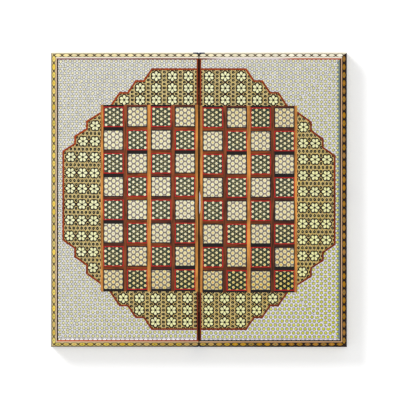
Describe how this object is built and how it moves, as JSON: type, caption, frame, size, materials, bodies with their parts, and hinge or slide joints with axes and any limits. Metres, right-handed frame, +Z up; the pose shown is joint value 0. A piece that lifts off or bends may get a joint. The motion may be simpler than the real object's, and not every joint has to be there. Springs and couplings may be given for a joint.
{
  "type": "chessboard",
  "caption": "Folding marquetry chessboard: shallow hinged wooden trays with khatam inlay, a stepped flower medallion round the chess grid, a backgammon field inside and a hook catch.",
  "frame": {"origin": "on the table, midway along the seam, at the centre of the bounding box's underside: the hinge knuckles touch z = 0", "axes": "+Z up, out of the chess face; +X across the seam, from the left half to the right half as pictured; +Y along the seam, towards the top of the picture"},
  "size_m": [0.5, 0.498, 0.035],
  "materials": {
    "panel_wood": "sealed",
    "case_wood": "oiled walnut",
    "lipping_wood": "varnished, worn at the edge",
    "banding_khatam": "khatam of wood, bone and brass, varnished",
    "rope_khatam": "khatam of wood, bone and brass, varnished",
    "pale_wood": "varnished",
    "line_wood": "varnished",
    "star_khatam": "khatam of wood and bone, varnished",
    "flower_khatam": "khatam of wood, bone and brass, varnished",
    "redwood_stringing": "varnished",
    "orange_wood": "varnished",
    "brown_wood": "varnished",
    "cross_brown_wood": "varnished",
    "dark_brown_wood": "varnished",
    "black_wood": "varnished",
    "dark_khatam": "khatam of wood, bone and brass, varnished",
    "light_khatam": "khatam of wood, bone and brass, varnished",
    "red_stringing": "stained, varnished",
    "black_stringing": "stained, varnished",
    "field_veneer": "satin varnish",
    "light_point_wood": "satin varnish",
    "dark_point_wood": "satin varnish",
    "steel": "dulled with age",
    "pin_steel": "drawn wire",
    "brass": "tarnished",
    "screw_brass": "turned, tarnished"
  },
  "bodies": {
    "left_half": {"left_panel": "panel_wood", "left_outer_rail": "case_wood", "left_hinge_rail": "case_wood", "left_end_rails": "case_wood", "left_edge_lipping": "lipping_wood", "left_side_banding": "banding_khatam", "left_rope_banding": "rope_khatam", "left_pale_stringing": "pale_wood", "left_inner_line": "line_wood", "left_corner_field": "star_khatam", "left_side_medallion": "flower_khatam", "left_end_medallions": "flower_khatam", "left_medallion_stringing": "redwood_stringing", "left_orange_strips": "orange_wood", "left_brown_strips": "brown_wood", "left_cross_strips_brown": "cross_brown_wood", "left_cross_strips_dark": "dark_brown_wood", "left_cross_strips_black": "black_wood", "left_dark_squares": "dark_khatam", "left_light_squares": "light_khatam", "left_red_frames": "red_stringing", "left_black_frames": "black_stringing", "left_playing_field": "field_veneer", "left_light_points": "light_point_wood", "left_dark_points": "dark_point_wood", "left_end_plates": "steel", "left_hinge_leaves": "brass", "left_screws": "screw_brass", "hinge_pins": "pin_steel", "catch_screw": "brass"},
    "right_half": {"right_panel": "panel_wood", "right_outer_rail": "case_wood", "right_hinge_rail": "case_wood", "right_end_rails": "case_wood", "right_edge_lipping": "lipping_wood", "right_side_banding": "banding_khatam", "right_rope_banding": "rope_khatam", "right_pale_stringing": "pale_wood", "right_inner_line": "line_wood", "right_corner_field": "star_khatam", "right_side_medallion": "flower_khatam", "right_end_medallions": "flower_khatam", "right_medallion_stringing": "redwood_stringing", "right_orange_strips": "orange_wood", "right_brown_strips": "brown_wood", "right_cross_strips_brown": "cross_brown_wood", "right_cross_strips_dark": "dark_brown_wood", "right_cross_strips_black": "black_wood", "right_dark_squares": "dark_khatam", "right_light_squares": "light_khatam", "right_red_frames": "red_stringing", "right_black_frames": "black_stringing", "right_playing_field": "field_veneer", "right_light_points": "light_point_wood", "right_dark_points": "dark_point_wood", "right_end_plates": "steel", "right_hinge_leaves": "brass", "right_screws": "screw_brass", "catch_peg": "brass"},
    "hook": {"catch_hook": "brass"}
  },
  "joints": [
    {"name": "main_hinge", "type": "hinge", "parent": "left_half", "child": "right_half", "pos_m": [0, 0, 0.0013], "axis": [0, 1, 0], "range_deg": [0, 180]},
    {"name": "catch_turn", "type": "hinge", "parent": "left_half", "child": "hook", "pos_m": [-0.2476, 0, 0.0085], "axis": [-1, 0, 0], "range_deg": [0, 90]}
  ]
}
